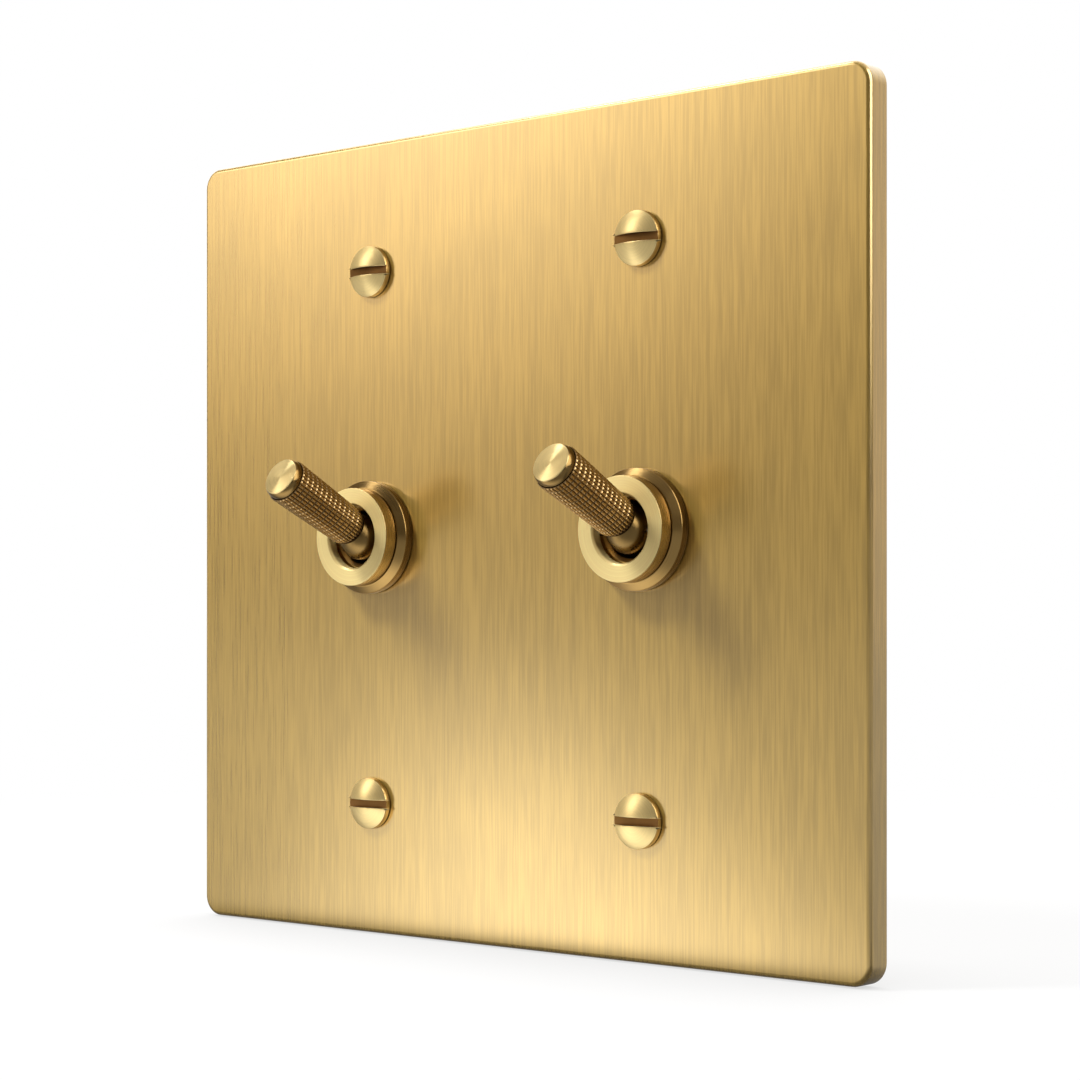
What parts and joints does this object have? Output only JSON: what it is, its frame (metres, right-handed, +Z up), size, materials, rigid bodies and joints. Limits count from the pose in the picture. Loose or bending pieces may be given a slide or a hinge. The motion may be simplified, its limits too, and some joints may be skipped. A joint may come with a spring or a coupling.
{
  "type": "brass dolly switch",
  "caption": "Rectangular brushed-brass wall plate with side-by-side knurled toggle levers in turned collars, slotted fixing screws and a sliding changeover mechanism behind each lever.",
  "frame": {"origin": "centre of the plate's rear rim, on the wall surface", "axes": "+Z up, +X to the right seen from the room, front of the plate faces -Y, +Y into the wall"},
  "size_m": [0.1316, 0.047, 0.124],
  "materials": {
    "plate_brass": "vertically brushed, lacquered",
    "screw_brass": "turned, satin polish",
    "knurled_brass": "diamond knurl with a spun end face",
    "ball_brass": "turned, polished",
    "ring_brass": "turned, polished",
    "flange_brass": "turned, polished",
    "bushing_brass": "turned",
    "pin_steel": "ground",
    "zinc_steel": "zinc plated",
    "case_phenolic": "moulded, dark",
    "carriage_plastic": "moulded",
    "contact_copper": "rolled copper alloy strip",
    "terminal_brass": "bright drawn",
    "terminal_screw_steel": "zinc plated"
  },
  "bodies": {
    "base": {"face_plate": "plate_brass", "plate_screws": "screw_brass", "left_ring_nut": "ring_brass", "left_flange": "flange_brass", "left_lock_washer": "zinc_steel", "left_bushing": "bushing_brass", "left_frame": "zinc_steel", "left_case": "case_phenolic", "left_upper_terminal": "terminal_brass", "left_common_terminal": "terminal_brass", "left_lower_terminal": "terminal_brass", "left_terminal_screws": "terminal_screw_steel", "right_ring_nut": "ring_brass", "right_flange": "flange_brass", "right_lock_washer": "zinc_steel", "right_bushing": "bushing_brass", "right_frame": "zinc_steel", "right_case": "case_phenolic", "right_upper_terminal": "terminal_brass", "right_common_terminal": "terminal_brass", "right_lower_terminal": "terminal_brass", "right_terminal_screws": "terminal_screw_steel"},
    "left_lever": {"left_dolly": "knurled_brass", "left_ball": "ball_brass", "left_pivot_pin": "pin_steel"},
    "left_slider": {"left_carriage": "carriage_plastic", "left_bridge_contact": "contact_copper"},
    "right_lever": {"right_dolly": "knurled_brass", "right_ball": "ball_brass", "right_pivot_pin": "pin_steel"},
    "right_slider": {"right_carriage": "carriage_plastic", "right_bridge_contact": "contact_copper"}
  },
  "joints": [
    {"name": "left_toggle", "type": "hinge", "parent": "base", "child": "left_lever", "pos_m": [-0.02675, -0.0062, 0], "axis": [1, 0, 0], "range_deg": [0, 53]},
    {"name": "left_slide", "type": "slide", "parent": "base", "child": "left_slider", "axis": [0, 0, 1], "range_m": [0, 0.01035]},
    {"name": "right_toggle", "type": "hinge", "parent": "base", "child": "right_lever", "pos_m": [0.02675, -0.0062, 0], "axis": [1, 0, 0], "range_deg": [0, 53]},
    {"name": "right_slide", "type": "slide", "parent": "base", "child": "right_slider", "axis": [0, 0, 1], "range_m": [0, 0.01035]}
  ],
  "couplings": [
    {"joint": "left_toggle", "follows": "left_slide", "rad_per_m": 89.359},
    {"joint": "right_toggle", "follows": "right_slide", "rad_per_m": 89.359}
  ]
}
